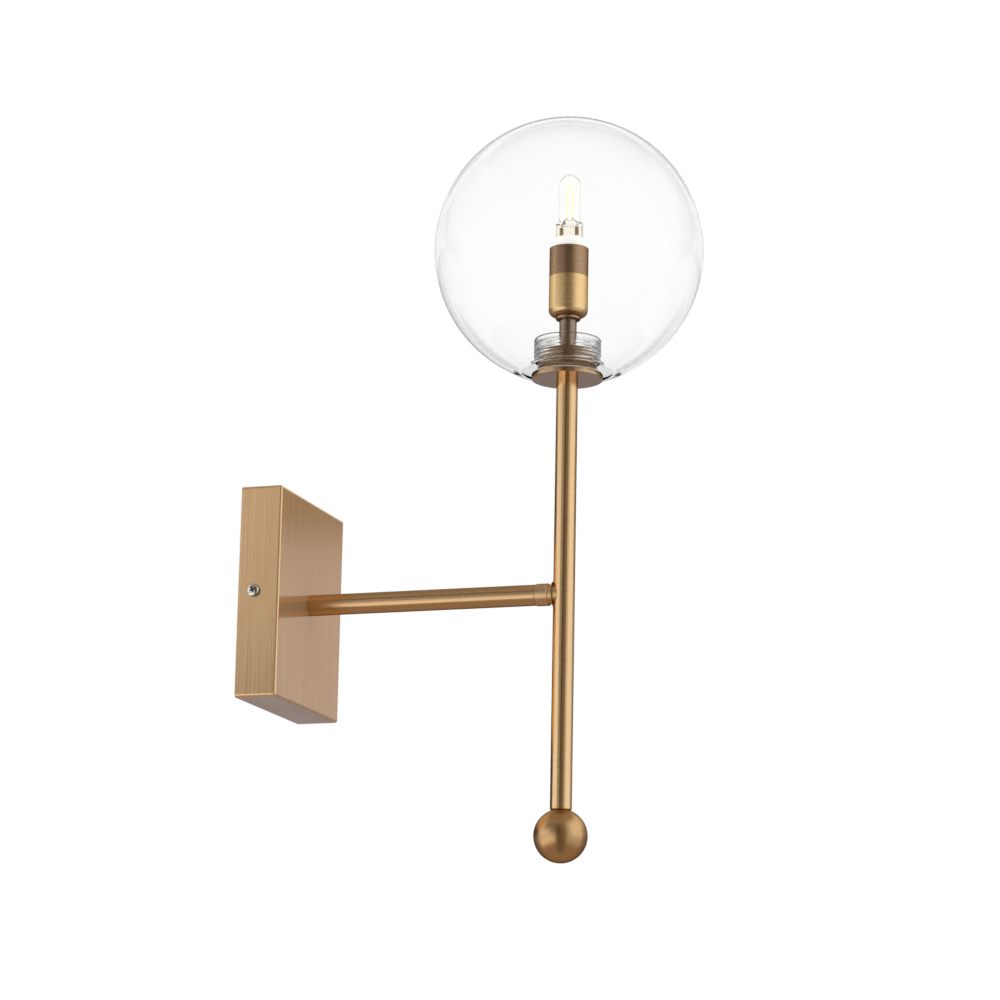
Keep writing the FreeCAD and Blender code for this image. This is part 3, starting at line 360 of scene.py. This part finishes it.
# --- Side screws ----------------------------------------------------------------------------------
# Chrome pan-head screws with a cross recess, one in each side of the box, a little proud of it.
chrome = finish("bright chrome", (0.86, 0.85, 0.84), 0.05, metallic=1.0)
# The flank of each head is given near-black chrome, a painted dark reflection; the rest of the head
# stays bright chrome.
painted_dark_flank = finish("chrome, painted dark reflection on the head's flank", (0.10, 0.09, 0.08), 0.15, metallic=1.0)


def lathe(name, outline, surface, centre=(0, stem_y), steps=96, pitch=0.0, depth=0.0):
    """A turned piece on an upright axis, from (radius, height, thread) in millimetres. Where thread
    is 1 a right-hand thread of that pitch and depth stands proud of the radius."""
    mesh = bmesh.new()
    rings = []
    for radius, height, thread in outline:
        ring = []
        for step in range(steps):
            angle = 2 * math.pi * step / steps
            rise = 0.0
            if thread:
                turn = height / pitch - step / steps
                rise = thread * depth * (0.5 + 0.5 * math.cos(2 * math.pi * turn))
            reach = (radius + rise) / 1000
            ring.append(mesh.verts.new((centre[0] + reach * math.cos(angle),
                                        centre[1] + reach * math.sin(angle), height / 1000)))
        rings.append(ring)
    for below, over in zip(rings, rings[1:]):
        for step in range(steps):
            after = (step + 1) % steps
            mesh.faces.new((below[step], below[after], over[after], over[step]))
    bmesh.ops.remove_doubles(mesh, verts=mesh.verts, dist=0.000001)
    bmesh.ops.recalc_face_normals(mesh, faces=mesh.faces)
    for face in mesh.faces:
        face.smooth = True
    data = bpy.data.meshes.new(name)
    mesh.to_mesh(data)
    mesh.free()
    data.materials.append(surface)
    piece = bpy.data.objects.new(name, data)
    bpy.context.collection.objects.link(piece)
    return piece


def arc(centre_radius, centre_height, size, first, last, count):
    """Points of an arc in an outline, by angles in degrees from the outward direction."""
    points = []
    for step in range(count + 1):
        angle = math.radians(first + (last - first) * step / count)
        points.append((centre_radius + size * math.cos(angle),
                       centre_height + size * math.sin(angle), 0))
    return points


def cross_head(name, head, height, surface):
    """A pan head about its own Z axis, sunk by a cross recess."""
    dome = [(0, 0, 0), (head / 2 - 0.15, 0, 0), (head / 2, 0.15, 0), (head / 2, height * 0.33, 0)]
    for step in range(1, 13):
        angle = math.radians(90 * step / 12)
        dome.append((head / 2 * math.cos(angle) ** 0.8 if step < 12 else 0,
                     height * (0.33 + 0.67 * math.sin(angle)), 0))
    piece = lathe(name, dome, surface, centre=(0, 0), steps=64)
    cutter_mesh = bmesh.new()
    for quarter in (0, 90):
        arm = bmesh.ops.create_cube(cutter_mesh, size=1.0)["verts"]
        for corner in arm:
            top = corner.co.z > 0
            corner.co.x *= head * (0.56 if top else 0.16) / 1000
            corner.co.y *= head * (0.15 if top else 0.10) / 1000
            corner.co.z = (height + 0.3 if top else height * 0.1) / 1000
        bmesh.ops.rotate(cutter_mesh, verts=arm, cent=(0, 0, 0),
                         matrix=Matrix.Rotation(math.radians(quarter + 20), 3, "Z"))
    cutter_data = bpy.data.meshes.new("cross cutter")
    cutter_mesh.to_mesh(cutter_data)
    cutter_mesh.free()
    cutter = bpy.data.objects.new("cross cutter", cutter_data)
    bpy.context.collection.objects.link(cutter)
    recess = piece.modifiers.new("recess", "BOOLEAN")
    recess.operation = "DIFFERENCE"
    recess.solver = "EXACT"
    recess.use_self = True
    recess.object = cutter
    sharp = piece.modifiers.new("crisp edges", "EDGE_SPLIT")
    sharp.split_angle = math.radians(35)
    bpy.context.view_layer.update()
    seen_by = bpy.context.evaluated_depsgraph_get()
    cut = bpy.data.meshes.new_from_object(piece.evaluated_get(seen_by))
    piece.modifiers.clear()
    piece.data = cut
    bpy.data.objects.remove(cutter)
    return piece


def shank(name, radius, length, surface, pitch):
    """The threaded shank under a head, about its own Z axis."""
    rows = [(0, -length, 0), (radius - 0.3, -length, 0)]
    for row in range(int(length * 10) - 3):
        rows.append((radius - 0.25, -length + 0.3 + row * 0.1, 1))
    rows += [(radius - 0.25, 0, 0), (0, 0, 0)]
    return lathe(name, rows, surface, centre=(0, 0), steps=32, pitch=pitch, depth=0.25)


head_width = 7.1
head_height = 2.4
setback = 0.0092
_, box_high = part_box("canopy")
for side in (-1, 1):
    which = "left" if side < 0 else "right"
    screw = cross_head(f"side_screw_head_{which}", head_width, head_height, chrome)
    screw.data.materials.append(painted_dark_flank)
    # Faces that don't look up the head's axis, its flank and the walls of the recess, get the
    # painted dark reflection.
    for face in screw.data.polygons:
        if face.normal.z < 0.5:
            face.material_index = 1
    thread = shank(f"side_screw_shank_{which}", 2.0, 8.0, chrome, 0.7)
    thread.parent = screw
    screw.matrix_world = (
        Matrix.Translation((box_high.x * side, -setback, 0))
        @ Matrix.Rotation(math.radians(90 * side), 4, "Y")
    )
    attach(screw, "root")
    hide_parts("canopy_screws")

# --- Arm and boss ---------------------------------------------------------------------------------
# A straight brass tube, polished in a lathe, clamped to the box by a hollow nipple, washer and nut.
# A turned boss, brazed to the stem, screws onto its other end.
lathe_y = brushed("arm brass, turned", (0.80, 0.53, 0.29), (30, 3000, 30), 0.24, 0.3, False)
dress(lathe_y, "arm_tube")
dress(brushed("boss brass, turned", (0.92, 0.64, 0.38), (30, 3000, 30), 0.36, 0.2, False),
      "stem_boss")
dress(zinc, "arm_nipple", "arm_nut", "arm_washer", "boss_nipple")

# --- Stem, plug, ball and plate -------------------------------------------------------------------
# Turned brass on one upright axis: the tube, the tapped plug in its foot, the ball that screws onto
# it, and the plate at its head. All are polished in a lathe, which leaves fine level lines.
lathe_z = brushed("stem brass, turned", brass_tone, (30, 30, 3000), 0.22, 0.2, True)
dress(lathe_z, "stem_tube")
dress(brushed("ball brass, turned", (0.76, 0.48, 0.235), (30, 30, 2500), 0.33, 0.2, True),
      "ball_finial")
dress(brushed("plate brass, turned", (0.80, 0.53, 0.29), (30, 30, 3000), 0.14, 0.1, True,
              edge=(1, 1, 1)), "shade_plate")
# The plate's rim, its upright faces, gets a darker and rougher copy of the plate's brass: painted
# shade.
plate = nodes["shade_plate"].data
plate.materials.append(brushed("plate brass, rim with painted shade", (0.66, 0.45, 0.27), (30, 30, 3000), 0.24,
                               0.2, True))
for face in plate.polygons:
    if abs(face.normal.z) < 0.5:
        face.material_index = 1
dress(machined, "stem_plug", "stem_stud")
dress(zinc, "finial_stud")

# --- Collar ---------------------------------------------------------------------------------------
# A brown-toned brass cup with a coarse thread outside, clamped on the plate by a washer and nut. The
# globe screws onto it.
screw_pitch = 2.0
toned_thread = finish("toned brass thread", (0.42, 0.27, 0.17), 0.30, metallic=1.0)
rows = [(14.7, 138.6, 0), (14.7, 127.1, 0), (5.05, 127.1, 0), (5.05, 125.1, 0), (16.4, 125.1, 0)]
rows += [(15.9, 125.5, 0.0)]
for row in range(61):
    share = min(1.0, row / 6, (60 - row) / 6)
    rows.append((15.9, 125.5 + row * 0.2, share))
rows += [(15.9, 137.9, 0), (15.4, 138.6, 0), (14.7, 138.6, 0)]
collar = lathe("threaded_collar", rows, toned_thread, pitch=screw_pitch, depth=0.6)
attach(collar, "root")
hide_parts("shade_collar")
dress(zinc, "collar_washer", "collar_nut")

# --- Globe ----------------------------------------------------------------------------------------
# Clear blown glass. At its mouth it folds inward and runs up as a neck, which is pressed with the
# thread that takes the collar. It rests on a clear ring on the plate. Wall, neck and fold bend
# light differently, and the fold not at all.


def clear(name, tint, bend, shine):
    """See-through stuff, smooth all over."""
    surface = bpy.data.materials.new(name)
    surface.use_nodes = True
    tree = surface.node_tree
    shader = tree.nodes["Principled BSDF"]
    shader.inputs["Base Color"].default_value = (*tint, 1)
    shader.inputs["Roughness"].default_value = 0.0
    shader.inputs["IOR"].default_value = bend
    shader.inputs["Transmission Weight"].default_value = 1.0
    shader.inputs["Specular Tint"].default_value = (shine, shine, shine, 1)
    return surface


glass = clear("clear glass", (0.992, 0.995, 0.994), 1.2, 0.8)
neck_glass = clear("clear glass, pressed neck", (0.98, 0.985, 0.98), 1.42, 0.8)
fold_glass = bpy.data.materials.new("clear glass, folded mouth")
fold_glass.use_nodes = True
tree = fold_glass.node_tree
tree.nodes.remove(tree.nodes["Principled BSDF"])
body = tree.nodes.new("ShaderNodeBsdfTransparent")
body.inputs["Color"].default_value = (0.985, 0.99, 0.985, 1)
# Toward grazing angles the fold lets less light through, a painted shade for the dark edges of
# glass.
painted_edge_shade = tree.nodes.new("ShaderNodeBsdfTransparent")
painted_edge_shade.inputs["Color"].default_value = (0.72, 0.73, 0.72, 1)
edge_on = tree.nodes.new("ShaderNodeLayerWeight")
edge_on.inputs["Blend"].default_value = 0.25
either = tree.nodes.new("ShaderNodeMixShader")
tree.links.new(edge_on.outputs["Facing"], either.inputs[0])
tree.links.new(body.outputs[0], either.inputs[1])
tree.links.new(painted_edge_shade.outputs[0], either.inputs[2])
tree.links.new(either.outputs[0], tree.nodes["Material Output"].inputs["Surface"])
gasket_top = 125.5
ball = 76.0
wall = 2.2
mouth = 25.4
foot = 2.0
bulge = gasket_top + math.sqrt(ball ** 2 - mouth ** 2)
low_angle = math.degrees(math.asin((gasket_top + foot - bulge) / (ball - 0.3)))
rows = arc(0, bulge, ball, 90, low_angle + 0.5, 90)
rows += [(25.6, 126.5, 0), (24.9, 125.95, 0), (24.1, 125.6, 0), (23.3, gasket_top, 0)]
rows += [(18.0, gasket_top, 0), (17.3, 125.7, 0)]
for row in range(93):
    share = min(1.0, row / 8, (92 - row) / 8)
    rows.append((17.1, 126.1 + row * 0.2, -share))
rows += [(17.4, 144.9, 0), (17.7, 145.3, 0), (18.1, 145.4, 0), (18.5, 145.3, 0), (18.75, 144.9, 0)]
neck_side = 18.8
neck_head = 144.5
root = 5.0
foot_top = gasket_top + foot
valley = foot_top + root
for row in range(int((neck_head - valley) / 0.2) + 1):
    share = min(1.0, row / 8)
    rows.append((neck_side, neck_head - row * 0.2, -share * 0.4))
for step in range(1, 13):
    angle = math.radians(90 * step / 12)
    rows.append((neck_side + root - root * math.cos(angle), valley - root * math.sin(angle), 0))
inner = ball - wall
inner_low = math.degrees(math.asin((foot_top + 0.15 - bulge) / inner))
rows += [(math.sqrt(inner ** 2 - (bulge - foot_top - 0.15) ** 2) - 0.15, foot_top + 0.02, 0)]
rows += arc(0, bulge, inner, inner_low, 90, 90)
globe = lathe("blown_glass_globe", rows, glass, steps=240, pitch=screw_pitch, depth=0.45)
globe.data.materials.append(neck_glass)
globe.data.materials.append(fold_glass)
for face in globe.data.polygons:
    out = math.hypot(face.center.x, face.center.y - stem_y)
    if out < 0.0262 and face.center.z < 0.1325:
        face.material_index = 2
    elif out < 0.0193 and face.center.z < 0.147:
        face.material_index = 1
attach(globe, "globe")
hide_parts("globe_glass")
globe.visible_shadow = False
globe.visible_diffuse = False
silicone = finish("milky silicone", (0.90, 0.90, 0.88), 0.35)
silicone.node_tree.nodes["Principled BSDF"].inputs["Alpha"].default_value = 0.45
dress(silicone, "shade_gasket")

# --- Riser, ring and cup --------------------------------------------------------------------------
# A thin tube, a turned ring and a drawn cup, toned darker than the stem. A nipple and nut clamp the
# cup round the lampholder. Its lower half is given a golden tone, as it looks in the photograph: a
# painted reflection of the lamp's light.
cup_grain = (30, 30, 2500)
cup_edge = (0.15, 0.1, 0.08)
# Height below which the cup is painted gold, a painted reflection of the lamp's light.
painted_reflection_below = 0.1816
toned = brushed("toned brass, turned", (0.52, 0.335, 0.20), cup_grain, 0.29, 0.5, False,
                edge=cup_edge)
dress(toned, "socket_ring")
cup_brass_painted_reflection = brushed("cup brass, painted reflection below", (0.47, 0.305, 0.185), cup_grain, 0.29, 0.5, False,
                    edge=cup_edge)
# Below that height the cup's toned colour is swapped for bright gold: the painted reflection.
tree = cup_brass_painted_reflection.node_tree
shader = tree.nodes["Principled BSDF"]
upper = shader.inputs["Base Color"].links[0].from_socket
spot = tree.nodes.new("ShaderNodeNewGeometry")
parts = tree.nodes.new("ShaderNodeSeparateXYZ")
is_low = tree.nodes.new("ShaderNodeMath")
is_low.operation = "LESS_THAN"
is_low.inputs[1].default_value = painted_reflection_below
golden = tree.nodes.new("ShaderNodeMixRGB")
golden.inputs["Color2"].default_value = (0.98, 0.68, 0.33, 1)
tree.links.new(spot.outputs["Position"], parts.inputs[0])
tree.links.new(parts.outputs["Z"], is_low.inputs[0])
tree.links.new(is_low.outputs[0], golden.inputs["Fac"])
tree.links.new(upper, golden.inputs["Color1"])
tree.links.new(golden.outputs[0], shader.inputs["Base Color"])
dress(cup_brass_painted_reflection, "socket_cup")
dress(brushed("riser brass, turned", (0.38, 0.285, 0.22), (30, 30, 2500), 0.30, 0.2, True),
      "riser_tube")
dress(zinc, "cup_nipple", "cup_nut", "holder_bracket", "holder_screws")

# --- Lampholder -----------------------------------------------------------------------------------
# Glazed ceramic with a slot for each pin. Sprung contacts sit in wells behind the slots. A bracket
# and two screws hold it in the cup. It is given a little emission, a painted glow for the light of
# the lamp in it.
ceramic = finish("glazed ceramic", (0.92, 0.91, 0.87), 0.2)
ceramic_shader = ceramic.node_tree.nodes["Principled BSDF"]
# Painted glow: emission that stands in for the lamp's light on the ceramic.
ceramic_shader.inputs["Emission Color"].default_value = (1, 0.98, 0.80, 1)
ceramic_shader.inputs["Emission Strength"].default_value = 0.2
dress(ceramic, "lampholder")
dress(chrome, "holder_contacts")

# --- Lamp -----------------------------------------------------------------------------------------
# A quartz capsule on a pinched foot. Two foils are sealed in the pinch, and their wires carry a
# fine coiled filament, which is alight.
quartz = clear("quartz", (0.995, 0.993, 0.985), 1.05, 0.5)
quartz_shader = quartz.node_tree.nodes["Principled BSDF"]
# The quartz is given a faint emission, a painted glow of the filament's light in it.
quartz_shader.inputs["Emission Color"].default_value = (1.0, 0.97, 0.82, 1)
quartz_shader.inputs["Emission Strength"].default_value = 0.006
dress(quartz, "bulb_glass")
pinched = clear("quartz, pinched", (0.97, 0.93, 0.80), 1.35, 0.5)
capsule = nodes["bulb_glass"]
capsule.data.materials.append(pinched)
pinch_top = 0.2135
for face in capsule.data.polygons:
    if (capsule.matrix_world @ face.center).z < pinch_top:
        face.material_index = 1
capsule.visible_shadow = False
capsule.visible_diffuse = False
dress(chrome, "bulb_pins")
dress(finish("molybdenum", (0.80, 0.62, 0.46), 0.4, metallic=1.0), "bulb_leads")

glow = finish("glowing tungsten", (0.9, 0.8, 0.6), 0.4, metallic=1.0)
glow_shader = glow.node_tree.nodes["Principled BSDF"]
glow_shader.inputs["Emission Color"].default_value = (1.0, 0.90, 0.38, 1)
glow_shader.inputs["Emission Strength"].default_value = 1.0
coil = bpy.data.curves.new("coiled filament", "CURVE")
coil.dimensions = "3D"
coil.bevel_depth = 0.00013
coil.bevel_resolution = 1
line = coil.splines.new("POLY")
half = 1.55
low, high = 217.5, 235.6
leg = high - half - low
length = 2 * leg + math.pi * half
turns = 120
to_a_turn = 8
coil_radius = 0.42
points = []
for step in range(turns * to_a_turn + 1):
    along = length * step / (turns * to_a_turn)
    if along < leg:
        across, height, lean = half, low + along, 0.0
    elif along < leg + math.pi * half:
        lean = (along - leg) / half
        across, height = half * math.cos(lean), high - half + half * math.sin(lean)
    else:
        across, height, lean = -half, high - half - (along - leg - math.pi * half), math.pi
    angle = 2 * math.pi * step / to_a_turn
    out_from = coil_radius * math.cos(angle)
    points.append((coil_radius * math.sin(angle) / 1000,
                   stem_y + (across + out_from * math.cos(lean)) / 1000,
                   (height + out_from * math.sin(lean)) / 1000))
line.points.add(len(points) - 1)
for spot, place in zip(line.points, points):
    spot.co = (*place, 1)
filament = bpy.data.objects.new("coiled_filament", coil)
coil.materials.append(glow)
bpy.context.collection.objects.link(filament)
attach(filament, "bulb")
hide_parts("bulb_filament")

lit = bpy.data.lights.new("light of the filament", "POINT")
lit.energy = 0.5
lit.color = (1.0, 0.82, 0.55)
lit.shadow_soft_size = 0.004
lit_place = bpy.data.objects.new("light of the filament", lit)
lit_place.location = (0, stem_y, 0.228)
lit_place.visible_camera = False
lit_place.visible_glossy = False
lit_place.visible_transmission = False
bpy.context.collection.objects.link(lit_place)
